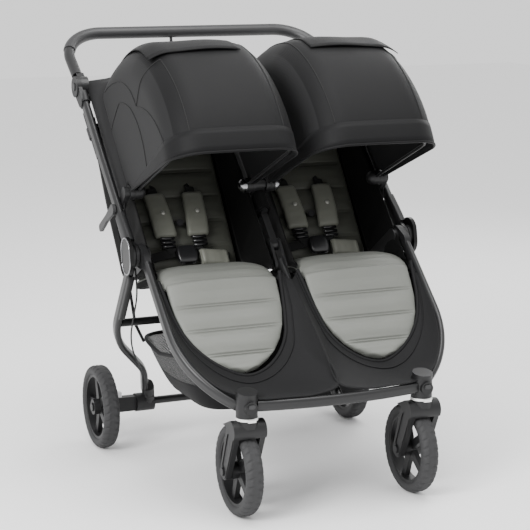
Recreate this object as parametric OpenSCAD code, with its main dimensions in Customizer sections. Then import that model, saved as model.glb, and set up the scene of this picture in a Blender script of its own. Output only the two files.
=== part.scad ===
// Side-by-side double folding stroller, built as separate parts in one frame.
// X to the right, -Y to the front, Z up, millimetres, standing on Z = 0.

/* [Frame] */
// Thickness of the oval frame tube across the stroller
tube_w = 17; // [14:0.5:22]
// Height of the oval frame tube
tube_h = 30; // [24:0.5:36]
// Wall of the frame tubes
tube_wall = 1.5; // [1:0.1:2.5]
// Slope of the side tubes above the horizontal, degrees
tube_angle = 42; // [38:0.5:46]
// Height of the main fold hinge above the ground
hinge_z = 561; // [540:1:580]
// Fore and aft place of the main fold hinge
hinge_y = -92; // [-110:1:-75]
// Centre line of the lower side tubes from the middle
lower_x = 345; // [335:0.5:350]
// Centre line of the upper side tubes from the middle
upper_x = 364; // [358:0.5:368]
// Lower tubes sit this far in front of the upper tube line
lower_step = 19; // [10:1:26]
// Straight part of the lower side tubes
side_run = 208; // [190:1:225]
// Radius of the front corner bends
corner_r = 270; // [240:1:300]
// Distance from the fold hinge to the handle pivot
upper_run = 553; // [530:1:575]
// Height of the front cross bar
front_bar_z = 272; // [262:1:280]

/* [Wheels] */
// Outer radius of every wheel
wheel_r = 108; // [104:0.5:110]
// Width of the tyres
tyre_w = 42; // [38:1:46]
// Radius where the tyre sits on the rim
rim_r = 85; // [80:1:88]
// Middle of the rear wheels from the middle of the stroller
rear_wheel_x = 355; // [345:1:356]
// Fore and aft place of the rear axle
rear_axle_y = 220; // [210:1:230]
// Middle of the front wheels from the middle of the stroller
caster_x = 222; // [216:1:228]
// Fore and aft place of the caster pivots
caster_y = -459; // [-465:1:-455]
// How far the front axle trails its pivot
trail = 47; // [40:1:50]
// Spokes in each rim
spokes = 5; // [5:1:6]

/* [Handlebar] */
// Length of the handlebar arms
handle_arm = 223; // [200:1:235]
// Angle of the handlebar arms above the horizontal, degrees
handle_angle = 34; // [26:1:40]
// Middle of the handlebar arms from the middle of the stroller
handle_x = 360; // [356:1:362]
// Corner radius of the handlebar
handle_bend = 110; // [80:1:130]
// Radius of the padded grip
grip_r = 16; // [14:0.5:17]

/* [Canopies] */
// Height of the canopy pivots
canopy_z = 700; // [690:1:710]
// Outside radius of the canopy cloth
canopy_r = 358; // [345:1:364]
// Angle of the front bow from the rear horizontal, degrees
bow_front = 158; // [150:1:162]
// Angle of the rear bow from the rear horizontal, degrees
bow_rear = 44; // [38:1:46]
// Thickness of the canopy cloth
cloth = 7; // [4:0.5:9]

/* [Seats] */
// Middle of each seat from the middle of the stroller
seat_x = 181; // [178:1:184]
// Width of each seat
seat_w = 286; // [270:1:288]
// Length of the seat backs
back_len = 440; // [400:1:455]
// Slope of the seat backs above the horizontal, degrees
back_angle = 55; // [50:1:60]
// Thickness of the seat backs
back_t = 34; // [24:1:36]
// Length of the leg rests
calf_len = 232; // [210:1:245]

/* [Basket] */
// Height of the basket floor
basket_z = 192; // [188:1:205]
// Height of the basket rim
rim_z = 308; // [280:1:310]

/* [Hidden] */
$fn = 64;
leg_angle = 55.4;
leg_run = [[0, 190], [190, 38], [0, 76], [110, -26], [0, 62]];
axle_z = wheel_r;
pivot_y = hinge_y + upper_run * cos(tube_angle);
pivot_z = hinge_z + upper_run * sin(tube_angle);
seat_p = [45, 478];
corner_a = 53;
mount_u = -hinge_y * cos(tube_angle) + (canopy_z - hinge_z) * sin(tube_angle);
mount_w = hinge_y * sin(tube_angle) + (canopy_z - hinge_z) * cos(tube_angle);
bow_half = 143;
dark = [0.17, 0.18, 0.19];
black = [0.08, 0.08, 0.085];
cloth_c = [0.12, 0.12, 0.13];
olive = [0.32, 0.33, 0.3];
pale = [0.58, 0.59, 0.56];
white = [0.9, 0.9, 0.88];
steel = [0.7, 0.71, 0.72];

// ---- shared shapes ----
module side(s) { if (s > 0) children(); else mirror([1, 0, 0]) children(); }
module both() { children(); mirror([1, 0, 0]) children(); }
module slope() translate([0, hinge_y, hinge_z]) rotate([tube_angle, 0, 0]) children();
module legs() translate([0, hinge_y, hinge_z]) rotate([-leg_angle, 0, 0]) children();
module seat_frame() translate([0, seat_p[0], seat_p[1]]) rotate([back_angle, 0, 0]) children();
module along_x(a, b) translate([a, 0, 0]) rotate([90, 0, 90]) linear_extrude(b - a) children();
module xcyl(y, z, r, a, b) translate([a, y, z]) rotate([0, 90, 0]) cylinder(h = b - a, r = r);
module oval2d(w, h) {
  if (h > w) {
    translate([0, (h - w) / 2]) circle(d = w, $fn = 48);
    translate([0, -(h - w) / 2]) circle(d = w, $fn = 48);
    square([w, h - w], center = true);
  } else circle(d = w, $fn = 24);
}
module tube2d(w, h, t) {
  if (t > 0) difference() { oval2d(w, h); oval2d(w - 2 * t, h - 2 * t); }
  else oval2d(w, h);
}
// a tube that runs along +Y; each step is [0, length] or [radius, angle],
// and g is a hairline joint left at both ends of each straight length
module run(s, w, h, t, g = 0, i = 0) {
  if (i < len(s)) {
    r = s[i][0];
    a = s[i][1];
    if (r == 0) {
      translate([0, g, 0]) rotate([-90, 0, 0]) linear_extrude(a - 2 * g) tube2d(w, h, t);
      translate([0, a, 0]) run(s, w, h, t, g, i + 1);
    } else if (a > 0) {
      translate([-r, 0, 0]) {
        rotate_extrude(angle = a, $fn = 240) translate([r, 0]) tube2d(w, h, t);
        rotate([0, 0, a]) translate([r, 0, 0]) run(s, w, h, t, g, i + 1);
      }
    } else {
      translate([r, 0, 0]) {
        rotate([0, 0, 180 + a]) rotate_extrude(angle = -a, $fn = 240)
          translate([r, 0]) tube2d(w, h, t);
        rotate([0, 0, a]) translate([-r, 0, 0]) run(s, w, h, t, g, i + 1);
      }
    }
  }
}
// cable through the given points, a ring of eight corners at each
module cable(p, r) {
  n = len(p);
  k = 8;
  pts = [for (i = [0 : n - 1]) let (
      d = p[min(i + 1, n - 1)] - p[max(i - 1, 0)],
      u = d / norm(d),
      a = cross(u, [0, 0, 1]) / norm(cross(u, [0, 0, 1])),
      b = cross(u, a))
    for (j = [0 : k - 1]) p[i] + r * (cos(j * 360 / k) * a + sin(j * 360 / k) * b)];
  polyhedron(points = pts, faces = concat(
    [[for (j = [0 : k - 1]) j]],
    [[for (j = [k - 1 : -1 : 0]) (n - 1) * k + j]],
    [for (i = [0 : n - 2], j = [0 : k - 1])
      [i * k + j, (i + 1) * k + j, (i + 1) * k + (j + 1) % k, i * k + (j + 1) % k]]));
}
// two discs joined by their outer tangents
module link2d(p, rp, q, rq) {
  d = norm(q - p);
  k = atan2(q[1] - p[1], q[0] - p[0]);
  f = acos((rp - rq) / d);
  translate(p) circle(rp);
  translate(q) circle(rq);
  a = rp * 0.998;
  b = rq * 0.998;
  polygon([p + a * [cos(k + f), sin(k + f)], q + b * [cos(k + f), sin(k + f)],
    q + b * [cos(k - f), sin(k - f)], p + a * [cos(k - f), sin(k - f)]]);
}
module round_box2d(w, h, r) {
  square([w - 2 * r, h], center = true);
  square([w, h - 2 * r], center = true);
  for (i = [-1, 1], j = [-1, 1]) translate([i * (w / 2 - r), j * (h / 2 - r)]) circle(r);
}

// ---- lower frame ----
module lower_side(t) slope() translate([lower_x, -34, lower_step]) rotate([0, 0, 180])
  mirror([1, 0, 0]) run([[0, side_run], [corner_r, corner_a]], tube_w, tube_h, t);
module front_bar(t) translate([0, caster_y - 33 + 966, front_bar_z]) rotate([0, 0, 270 - 12])
  rotate_extrude(angle = 24, $fn = 720) translate([966, 0]) tube2d(tube_w, 26, t);
module front_frame_tube() color(dark) {
  both() lower_side(tube_wall);
  front_bar(tube_wall);
}
// centre tube under the front panel, two straight runs
module centre_low(t) {
  translate([0, -132, 526]) rotate([38.5, 0, 0]) rotate([0, 0, 180])
    run([[0, 130]], tube_w, tube_h, t);
  translate([0, -233.5, 445]) rotate([36, 0, 0]) rotate([0, 0, 180])
    run([[0, 299]], tube_w, tube_h, t);
}
module centre_lower_tube() color(dark) difference() {
  union() {
    centre_low(0);
    slope() both() along_x(9, 15) link2d([0, 0], 17, [-58, -8], 15);
    slope() along_x(-9, 9) translate([-58, -8]) circle(14);
    slope() xcyl(0, 0, 6, -9, 9);
  }
  front_bar(0);
}
module side_hinges() color(black) both() {
  difference() {
    union() {
      slope() along_x(337, 353) link2d([0, 0], 28, [-30, 16], 22);
      xcyl(hinge_y, hinge_z, 20, 325, 337);
      along_x(326, 331.5) link2d([hinge_y, hinge_z], 20, seat_p, 13);
      xcyl(hinge_y, hinge_z, 8, 353, 378);
    }
    lower_side(0);
    xcyl(seat_p[0], seat_p[1], 6.05, 320, 340);
  }
}
module caster_housings() color(black) both() difference() {
  union() {
    translate([caster_x, caster_y, 246.3]) cylinder(h = 50, r = 25);
    translate([caster_x, caster_y, 240]) cylinder(h = 7, r = 13.95);
    // domed cap leaning to the front
    translate([caster_x, caster_y, 288]) rotate([12, 0, 0]) cylinder(h = 18, r = 24);
    translate([caster_x, caster_y - 18, 272]) rotate([90, 0, 0]) cylinder(h = 12, r = 15);
  }
  lower_side(0);
  front_bar(0);
  translate([caster_x, caster_y, 230]) cylinder(h = 56, r = 8.05);
  translate([caster_x, caster_y - 21, 276]) rotate([90, 0, 0]) linear_extrude(12)
    rotate([0, 0, 90]) oval2d(10.1, 16.1);
}
module lock_ring(s) color(white) side(s) {
  translate([caster_x, caster_y, 240.2]) difference() {
    union() {
      cylinder(h = 5.6, r = 26);
      translate([-9, -34, 0]) cube([18, 14, 5.6]);
    }
    translate([0, 0, -1]) cylinder(h = 8, r = 14);
  }
}
module lock_ring_left() lock_ring(-1);
module lock_ring_right() lock_ring(1);
module caster_release(s) color(dark) side(s)
  translate([caster_x, caster_y - 26.5, 276]) rotate([90, 0, 0]) linear_extrude(7)
    rotate([0, 0, 90]) oval2d(10, 16);
module caster_release_left() caster_release(-1);
module caster_release_right() caster_release(1);

// ---- casters ----
module fork(s) color(black) side(s) translate([caster_x, caster_y, 0]) {
  translate([0, 0, 222]) cylinder(h = 62, r = 8);
  difference() {
    union() {
      // crown
      translate([0, 0, 221]) cylinder(h = 18.7, r = 26);
      along_x(-40, 40) difference() {
        link2d([0, 214], 25, [trail - 6, 200], 22);
        translate([trail, axle_z]) circle(wheel_r + 5);
        translate([-40, 239.7]) square([120, 20]);
      }
      // cheeks
      for (k = [0, 1]) mirror([k, 0, 0]) {
        along_x(25, 38) link2d([4, 212], 26, [trail, axle_z], 20);
        along_x(38, 40) difference() {
          link2d([5, 208], 22, [trail, axle_z], 17);
          link2d([9, 196], 12, [trail - 4, 124], 8);
        }
      }
    }
    translate([0, trail, axle_z]) rotate([0, 90, 0]) cylinder(h = 50, r = wheel_r + 5, center = true);
    translate([0, 0, 239.7]) difference() {
      cylinder(h = 20, r = 60);
      translate([0, 0, -1]) cylinder(h = 22, r = 8);
    }
  }
  xcyl(trail, axle_z, 6, -40, 40);
  xcyl(trail, axle_z, 10, -44, -40);
  xcyl(trail, axle_z, 10, 40, 44);
}
module fork_left() fork(-1);
module fork_right() fork(1);
module tyre_at(x, y) color(black) translate([x, y, axle_z]) rotate([0, 90, 0])
  rotate_extrude() intersection() {
    union() {
      translate([wheel_r - 16, tyre_w / 2 - 16]) circle(16);
      translate([wheel_r - 16, 16 - tyre_w / 2]) circle(16);
      translate([wheel_r - 16, 0]) square([32, tyre_w - 32], center = true);
      translate([rim_r, -14]) square([12, 28]);
    }
    translate([rim_r, -30]) square([60, 60]);
  }
module rim_at(x, y, hub) color(dark) translate([x, y, axle_z]) rotate([0, 90, 0]) difference() {
  union() {
    difference() { cylinder(h = 30, r = rim_r, center = true); cylinder(h = 40, r = rim_r - 8, center = true); }
    cylinder(h = hub, r = 20, center = true);
    for (i = [0 : spokes - 1]) rotate([0, 0, i * 360 / spokes + 18])
      translate([9, 0, 0]) linear_extrude(12, center = true)
        polygon([[0, -11], [72, -8], [72, 8], [0, 11]]);
  }
  cylinder(h = 60, r = 6.05, center = true);
}
module front_tyre_left() tyre_at(-caster_x, caster_y + trail);
module front_tyre_right() tyre_at(caster_x, caster_y + trail);
module front_rim_left() rim_at(-caster_x, caster_y + trail, 46);
module front_rim_right() rim_at(caster_x, caster_y + trail, 46);
module rear_tyre_left() tyre_at(-rear_wheel_x, rear_axle_y);
module rear_tyre_right() tyre_at(rear_wheel_x, rear_axle_y);
module rear_rim(s) color(dark) side(s) difference() {
  rim_at(rear_wheel_x, rear_axle_y, 44);
  // ring groove that takes the brake pin
  translate([rear_wheel_x - 23, rear_axle_y, axle_z]) rotate([0, 90, 0])
    rotate_extrude() translate([26, 0]) square([14, 20]);
}
module rear_rim_left() rear_rim(-1);
module rear_rim_right() rear_rim(1);

// ---- rear frame ----
module leg(t, g = 0) legs() translate([upper_x, 32, 0]) run(leg_run, tube_w, tube_h, t, g);
module rear_legs() color(dark) both() difference() {
  union() {
    leg(tube_wall, 0.01);
    legs() along_x(365, 372.6) link2d([0, 0], 27, [32, 0], 14);
  }
  legs() xcyl(0, 0, 8.05, 360, 380);
  legs() translate([upper_x, 32, 0]) rotate([-90, 0, 0]) linear_extrude(30) oval2d(tube_w - 3, tube_h - 3);
}
module rear_cross_tubes() color(dark) {
  legs() xcyl(234, 0, 10, -354.3, 354.3);
  xcyl(rear_axle_y, axle_z, 10, -213, 213);
}
module axle_housings() color(black) both() difference() {
  union() {
    xcyl(rear_axle_y, axle_z, 24, 213, 262);
    legs() translate([236, 484, 0]) rotate([0, 0, 12]) rotate([-90, 0, 0])
      translate([2, 0, 0]) linear_extrude(62) oval2d(30, 40);
    translate([250, rear_axle_y - 12, axle_z - 19]) cube([78, 24, 38]);
    xcyl(rear_axle_y, axle_z, 6, 320, 378);
    xcyl(rear_axle_y, axle_z, 11, 377.5, 381);
    translate([222, rear_axle_y - 38, axle_z + 20]) cube([24, 20, 16]);
  }
  leg(0);
  xcyl(rear_axle_y, axle_z, 10, 190, 213);
  translate([300, rear_axle_y - 9.1, axle_z + 12]) cube([40, 18.2, 30]);
}
module brake_pin(s) color(steel) side(s) union() {
  translate([300.2, rear_axle_y - 9, axle_z + 12.2]) cube([20, 18, 20]);
  xcyl(rear_axle_y, axle_z + 33, 5, 310, 332.5);
}
module brake_pin_left() brake_pin(-1);
module brake_pin_right() brake_pin(1);
module hinge_covers() color(black) both() difference() {
  translate([0, hinge_y, hinge_z]) rotate([-10, 0, 0]) along_x(373, 382) oval2d(68, 92);
  xcyl(hinge_y, hinge_z, 9, 370, 378.6);
}
module brake_cable_lower() color(black) legs() mirror([1, 0, 0])
  cable([[364, 60, 18.4], [364, 225, 18.4], [352, 286, 18.4], [326, 340, 18.4],
    [276, 404, 18.4], [258, 438, 18.4], [251, 479, 18.4]], 2.5);

// ---- upper frame ----
module upper_side(t) slope() translate([upper_x, 32, 0]) run([[0, upper_run - 62]], tube_w, tube_h, t);
module upper_side_tubes() color(dark) both() difference() {
  union() {
    upper_side(tube_wall);
    slope() along_x(355, 363) link2d([0, 0], 27, [32, 0], 15);
  }
  slope() xcyl(0, 0, 8.05, 350, 380);
  slope() translate([upper_x, 32, 0]) rotate([-90, 0, 0]) linear_extrude(30) oval2d(tube_w - 3, tube_h - 3);
}
module centre_up(t) slope() translate([0, 92, 12]) run([[0, 418]], tube_w, tube_h, t);
module cross_up(g) slope() xcyl(515, 0, 10 + g, -355.4, 355.4);
module centre_upper_frame() color(dark) difference() {
  union() {
    centre_up(0);
    cross_up(0);
    slope() along_x(-8.5, 8.5) link2d([0, 0], 12, [98, 2], 12);
  }
  slope() xcyl(0, 0, 6.05, -10, 10);
}
module centre_sleeve() color(black) difference() {
  slope() translate([0, 98, 12]) rotate([-90, 0, 0]) linear_extrude(50) oval2d(34, 50);
  centre_up(0);
  slope() along_x(-8.5, 8.5) link2d([0, 0], 12, [98, 2], 12);
}
module handle_housings() color(black) both() difference() {
  union() {
    xcyl(pivot_y, pivot_z, 27, 366, 379);
    slope() translate([upper_x, upper_run - 62, 0]) rotate([-90, 0, 0]) linear_extrude(34) oval2d(24, 38);
    slope() along_x(366, 376) link2d([upper_run - 50, 0], 16, [upper_run, 0], 22);
    xcyl(pivot_y, pivot_z, 7, 346, 368);
  }
  upper_side(0);
  cross_up(0);
  xcyl(pivot_y, pivot_z, 10.05, 370, 384);
}
module lock_rods() color(steel) both() slope() {
  translate([upper_x, 330, -24]) rotate([-90, 0, 0]) cylinder(h = 150, r = 5);
  translate([upper_x, 395, -24]) rotate([-90, 0, 0]) cylinder(h = 34, r = 8.5);
  for (v = [330, 470]) translate([upper_x - 5, v, -24]) cube([10, 10, 9]);
}
module canopy_mounts() color(black) {
  both() slope() {
    along_x(343, 355.5) link2d([mount_u, 0], 13, [mount_u, mount_w], 14);
    xcyl(mount_u, mount_w, 5, 316, 344);
  }
  difference() {
    slope() union() {
      along_x(-13, 13) link2d([mount_u, 20], 12, [mount_u, mount_w], 13);
      xcyl(mount_u, mount_w, 5, -40, 40);
    }
    centre_up(0);
  }
}
module side_wings() color(cloth_c) both() slope() along_x(332.5, 335.5)
  polygon([[90, 14], [90, -40], [150, -62], [330, -50], [470, -14], [470, 14]]);
module rear_panel() color(cloth_c) both() {
  slope() along_x(341, 346) polygon([[196, 16], [500, 16], [508, 46], [200, 36]]);
  translate([0, 0, canopy_z]) rotate([bow_rear, 0, 0]) translate([22, 352, -34])
    cube([316, 6, 26]);
}
module brake_cable_upper() color(black) slope() mirror([1, 0, 0])
  translate([upper_x, 36, -17.9]) run([[0, 100]], 5, 5, 0);
module brake_lever() color(steel) slope() mirror([1, 0, 0]) difference() {
  along_x(374, 381.5) {
    link2d([145, 0], 13, [160, -50], 8);
    link2d([160, -50], 8, [176, -108], 10);
  }
  xcyl(145, 0, 5.05, 370, 380);
}

// ---- handlebar ----
module handle_frame() translate([0, pivot_y, pivot_z]) rotate([handle_angle, 0, 0]) children();
module handle_path(t) handle_frame() {
  translate([handle_x, 42, 0]) run([[0, handle_arm - 42 - handle_bend], [handle_bend, 90]], 28, 28, t);
  mirror([1, 0, 0]) translate([handle_x, 42, 0])
    run([[0, handle_arm - 42 - handle_bend], [handle_bend, 90]], 28, 28, t);
  translate([0, handle_arm, 0]) rotate([0, 0, 90]) translate([0, -(handle_x - handle_bend), 0])
    run([[0, 2 * (handle_x - handle_bend)]], 28, 28, t);
}
module handlebar_tube() color(dark) {
  handle_path(3);
  both() handle_frame() {
    difference() {
      along_x(346, 365.7) union() { circle(26); translate([0, -12]) square([42, 24]); }
      xcyl(0, 0, 7.05, 340, 370);
    }
  }
}
module handlebar_grip() color(black) handle_frame() {
  difference() {
    for (m = [0, 1]) mirror([m, 0, 0]) translate([handle_x - handle_bend, handle_arm - handle_bend, 0])
      rotate([0, 0, 20]) rotate_extrude(angle = 70) translate([handle_bend, 0]) circle(grip_r);
    for (m = [0, 1]) mirror([m, 0, 0]) translate([handle_x - handle_bend, handle_arm - handle_bend, 0])
      rotate_extrude(angle = 90) translate([handle_bend, 0]) circle(14);
  }
  translate([-(handle_x - handle_bend), handle_arm, 0]) rotate([0, 90, 0]) difference() {
    cylinder(h = 2 * (handle_x - handle_bend), r = grip_r);
    cylinder(h = 2 * (handle_x - handle_bend), r = 14);
  }
}
module handle_button(s) color(dark) side(s) xcyl(pivot_y, pivot_z, 10, 373.5, 382);
module handle_button_left() handle_button(-1);
module handle_button_right() handle_button(1);

// ---- canopies ----
module canopy_frame() translate([0, 0, canopy_z]) children();
// a U shaped bow in the plane z = 0 that leaves both pivots along +Y
module bow(xo, xi, len, r, d) {
  translate([xo, 17.5, 0]) run([[0, len - 17.5 - r], [r, 90], [0, (xo - xi) / 2 - r]], d, d, 0);
  translate([xi, 17.5, 0]) run([[0, len - 17.5 - r], [r, -90], [0, (xo - xi) / 2 - r]], d, d, 0);
}
module pivot_disc(a, b) difference() { xcyl(0, 0, 18, a, b); xcyl(0, 0, 5.05, a - 1, b + 1); }
module canopy_hubs(s) color(black) side(s) canopy_frame() {
  pivot_disc(331, 342.7);
  pivot_disc(14, 25.5);
  rotate([bow_rear, 0, 0]) bow(336.5, 20, canopy_r - 18, 60, 8);
}
module canopy_hubs_left() canopy_hubs(-1);
module canopy_hubs_right() canopy_hubs(1);
module canopy_bow(s) color(black) side(s) canopy_frame() {
  pivot_disc(318, 330.5);
  pivot_disc(26, 38);
  rotate([bow_front - 1.5, 0, 0]) bow(322, 34, canopy_r - 20, 60, 8);
}
module canopy_bow_left() canopy_bow(-1);
module canopy_bow_right() canopy_bow(1);
// cloth: a hollow rounded section turned through the open angle
module canopy_fabric(s) color(cloth_c) side(s) canopy_frame() translate([seat_x - 3, 0, 0])
  rotate([90, 0, 90]) rotate([0, 0, bow_rear + 5]) hood(bow_front - bow_rear - 5);
module hood(a) rotate_extrude(angle = a) difference() {
  union() {
    translate([60, -158]) square([canopy_r - 120, 316]);
    translate([60, -98]) square([canopy_r - 60, 196]);
    for (j = [-1, 1]) translate([canopy_r - 60, j * 98]) circle(60);
  }
  translate([0, -158 + cloth]) square([canopy_r - 60, 316 - 2 * cloth]);
  translate([0, -98]) square([canopy_r - cloth, 196]);
  for (j = [-1, 1]) translate([canopy_r - 60, j * 98]) circle(60 - cloth);
}
module canopy_fabric_left() canopy_fabric(-1);
module canopy_fabric_right() canopy_fabric(1);

// ---- seats ----
module seat_pad(s) color(pale) side(s) translate([0, 0, 0])
  along_x(seat_x - seat_w / 2, 325.9) link2d([2, 466], 19, [-152, 508], 20);
module seat_pad_left() seat_pad(-1);
module seat_pad_right() seat_pad(1);
module calf_frame() translate([0, -185, 500]) rotate([51, 0, 0]) children();
module calf2d(g) {
  translate([seat_x, -calf_len + 108]) circle(108 + g);
  polygon([[seat_x - 138 - g, 0], [seat_x + 138 + g, 0], [seat_x + 108 + g, -calf_len + 108],
    [seat_x - 108 - g, -calf_len + 108]]);
}
module calf_pad(s) color(pale) side(s) calf_frame() {
  translate([0, -6, -10]) linear_extrude(24) calf2d(0);
  // welt that the pad folds on
  xcyl(0, 0, 3, seat_x - 130, seat_x + 130);
  translate([seat_x - 130, -7, -1]) cube([260, 7, 2]);
}
module calf_pad_left() calf_pad(-1);
module calf_pad_right() calf_pad(1);
module seat_hinge_rod() color(steel) difference() {
  xcyl(seat_p[0], seat_p[1], 6, -331, 331);
}
module seat_back(s) color(olive) side(s) seat_frame() difference() {
  translate([seat_x, 5, -back_t / 2]) linear_extrude(back_t)
    translate([0, back_len / 2]) round_box2d(seat_w, back_len, 34);
  xcyl(0, 0, 6.05, 0, 340);
}
module seat_back_left() seat_back(-1);
module seat_back_right() seat_back(1);
module harness(s) color(olive) side(s) seat_frame() translate([seat_x, 0, back_t / 2]) {
  difference() {
    union() {
      for (k = [-1, 1]) {
        translate([k * 46, 250, 7]) linear_extrude(14, center = true) round_box2d(44, 150, 14);
        translate([k * 40, 160, 5]) cube([24, 60, 6], center = true);
        translate([k * 76, 120, 5]) rotate([0, 0, k * 14]) cube([100, 26, 6], center = true);
      }
      translate([0, 118, 12]) linear_extrude(24, center = true) round_box2d(56, 60, 12);
      translate([0, 60, 6]) linear_extrude(12, center = true) round_box2d(58, 90, 16);
    }
    translate([0, 124, 14]) cylinder(h = 20, r = 9.05);
  }
}
module harness_left() harness(-1);
module harness_right() harness(1);
module buckle_button(s) color(steel) side(s) seat_frame()
  translate([seat_x, 124, back_t / 2 + 18]) cylinder(h = 8, r = 9);
module buckle_button_left() buckle_button(-1);
module buckle_button_right() buckle_button(1);

// ---- cloth panel and basket ----
module front_panel() color(cloth_c) translate([0, -492, 298]) rotate([35.3, 0, 0])
  translate([0, 0, -8]) linear_extrude(7.6) difference() {
    union() {
      translate([-80, -2]) square([160, 358]);
      translate([-334, 256]) square([668, 90]);
      both() intersection() {
        translate([74, 257]) circle(259, $fn = 120);
        translate([0, -2]) square([340, 262]);
      }
    }
    both() {
      translate([seat_x - 4, 190]) circle(124);
      translate([seat_x - 128, 190]) square([248, 100]);
      translate([seat_x - 144, 268]) square([280, 120]);
    }
  }
// block that widens from half sizes (a, b) at the floor to (c, d) at the top
module tub(a, b, c, d, z0, z1) translate([0, -57, 0]) polyhedron(
  points = [[-a, -b, z0], [a, -b, z0], [a, b, z0], [-a, b, z0],
    [-c, -d, z1], [c, -d, z1], [c, d, z1], [-c, d, z1]],
  faces = [[0, 1, 2, 3], [7, 6, 5, 4], [0, 4, 5, 1], [1, 5, 6, 2], [2, 6, 7, 3], [3, 7, 4, 0]]);
// open tub of cloth, wider at the rim, with webs up to the frame
module basket() color(cloth_c) {
  difference() {
    tub(235, 150, 282, 168, basket_z, rim_z);
    tub(231, 146, 280, 166, basket_z + 4, rim_z + 2);
    // hairline seams between the floor and the four walls
    translate([-300, -300, basket_z + 3.98]) cube([600, 600, 0.02]);
    for (i = [-1, 1], j = [-1, 1]) translate([i * 233, -57 + j * 148, 0])
      rotate([0, 0, atan2(j * 19, i * 48)]) translate([-20, -0.01, basket_z]) cube([100, 0.02, 160]);
  }
  // webs sewn to the walls with a hairline seam
  both() difference() {
    union() {
      cable([[274, -221, 304], [300, -238, 330], [334, -276, 388]], 4);
      cable([[276, 108, 304], [300, 92, 350], [328, 52, 463]], 4);
    }
    tub(235.02, 150.02, 282.02, 168.02, basket_z - 0.02, rim_z + 0.02);
  }
}

front_frame_tube();
centre_lower_tube();
side_hinges();
caster_housings();
seat_pad_left();
seat_pad_right();
front_panel();
basket();
lock_ring_left();
lock_ring_right();
caster_release_left();
caster_release_right();
fork_left();
fork_right();
front_tyre_left();
front_tyre_right();
front_rim_left();
front_rim_right();
rear_legs();
rear_cross_tubes();
axle_housings();
hinge_covers();
brake_cable_lower();
brake_pin_left();
brake_pin_right();
rear_tyre_left();
rear_tyre_right();
rear_rim_left();
rear_rim_right();
upper_side_tubes();
centre_upper_frame();
centre_sleeve();
handle_housings();
lock_rods();
canopy_mounts();
side_wings();
rear_panel();
brake_cable_upper();
brake_lever();
handlebar_tube();
handlebar_grip();
handle_button_left();
handle_button_right();
canopy_hubs_left();
canopy_hubs_right();
canopy_bow_left();
canopy_bow_right();
canopy_fabric_left();
canopy_fabric_right();
seat_hinge_rod();
seat_back_left();
seat_back_right();
calf_pad_left();
calf_pad_right();
harness_left();
harness_right();
buckle_button_left();
buckle_button_right();
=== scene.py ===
import math

import bmesh
import bpy
import numpy as np
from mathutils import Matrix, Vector, noise


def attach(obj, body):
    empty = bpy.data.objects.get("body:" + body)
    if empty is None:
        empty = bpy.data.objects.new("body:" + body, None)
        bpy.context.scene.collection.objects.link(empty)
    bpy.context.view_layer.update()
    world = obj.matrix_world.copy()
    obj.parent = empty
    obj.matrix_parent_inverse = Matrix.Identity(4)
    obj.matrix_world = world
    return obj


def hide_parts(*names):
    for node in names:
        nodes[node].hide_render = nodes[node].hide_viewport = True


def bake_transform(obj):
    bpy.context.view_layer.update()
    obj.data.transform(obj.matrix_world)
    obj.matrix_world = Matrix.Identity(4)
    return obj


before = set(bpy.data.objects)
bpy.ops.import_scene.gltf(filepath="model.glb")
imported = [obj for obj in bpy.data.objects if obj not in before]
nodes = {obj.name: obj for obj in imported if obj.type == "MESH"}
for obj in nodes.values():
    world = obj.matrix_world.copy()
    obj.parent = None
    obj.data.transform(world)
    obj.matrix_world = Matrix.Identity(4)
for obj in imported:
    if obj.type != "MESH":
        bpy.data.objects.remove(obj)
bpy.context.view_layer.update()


# Studio: a pale sweep lit by three soft panels, seen at eye level from the front left.
# The floor is a matt painted board; nothing in it is fixed to the stroller.
class Wire:
    """A socket in a material's node tree that can be used in sums."""

    def __init__(self, paint, socket):
        self.paint, self.socket = paint, socket

    def _maths(self, operation, a, b):
        return self.paint.node("Math", dict(operation=operation), 0, {0: a, 1: b})

    def __add__(self, other):
        return self._maths("ADD", self, other)

    def __sub__(self, other):
        return self._maths("SUBTRACT", self, other)

    def __rsub__(self, other):
        return self._maths("SUBTRACT", other, self)

    def __mul__(self, other):
        return self._maths("MULTIPLY", self, other)

    __rmul__ = __mul__

    def __gt__(self, other):
        return self._maths("GREATER_THAN", self, other)

    def sin(self):
        return self._maths("SINE", self, 0)

    def abs(self):
        return self._maths("ABSOLUTE", self, 0)


class Paint:
    """A material with its node tree; node() adds any shader node."""

    def __init__(self, name, color, roughness, metallic=0.0, **plain):
        self.material = bpy.data.materials.new(name)
        self.material.use_nodes = True
        self.tree = self.material.node_tree
        self.shader = self.tree.nodes["Principled BSDF"]
        self.shader.inputs["Base Color"].default_value = (*color, 1)
        self.shader.inputs["Roughness"].default_value = roughness
        self.shader.inputs["Metallic"].default_value = metallic
        for key, value in plain.items():
            self.shader.inputs[key.replace("_", " ")].default_value = value

    def node(self, kind, settings=None, out=0, inputs=None):
        n = self.tree.nodes.new("ShaderNode" + kind)
        for key, value in (settings or {}).items():
            setattr(n, key, value)
        for key, value in (inputs or {}).items():
            if isinstance(value, Wire):
                self.tree.links.new(value.socket, n.inputs[key])
            else:
                n.inputs[key].default_value = value
        return Wire(self, n.outputs[out])

    def place(self):
        return self.node("TexCoord", out=3)

    def noise(self, scale, detail=3.0, rough=0.5):
        return self.node("TexNoise", None, 0, {"Vector": self.place(), "Scale": scale,
                                               "Detail": detail, "Roughness": rough})

    def mix(self, amount, a, b):
        return self.node("Mix", dict(data_type="RGBA"), 2, {0: amount, 6: (*a, 1), 7: (*b, 1)})

    def drive(self, name, wire):
        self.tree.links.new(wire.socket, self.shader.inputs[name])
        return self

    def bump(self, height, strength, distance):
        n = self.node("Bump", None, 0, {"Height": height, "Strength": strength, "Distance": distance})
        return self.drive("Normal", n)


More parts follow.
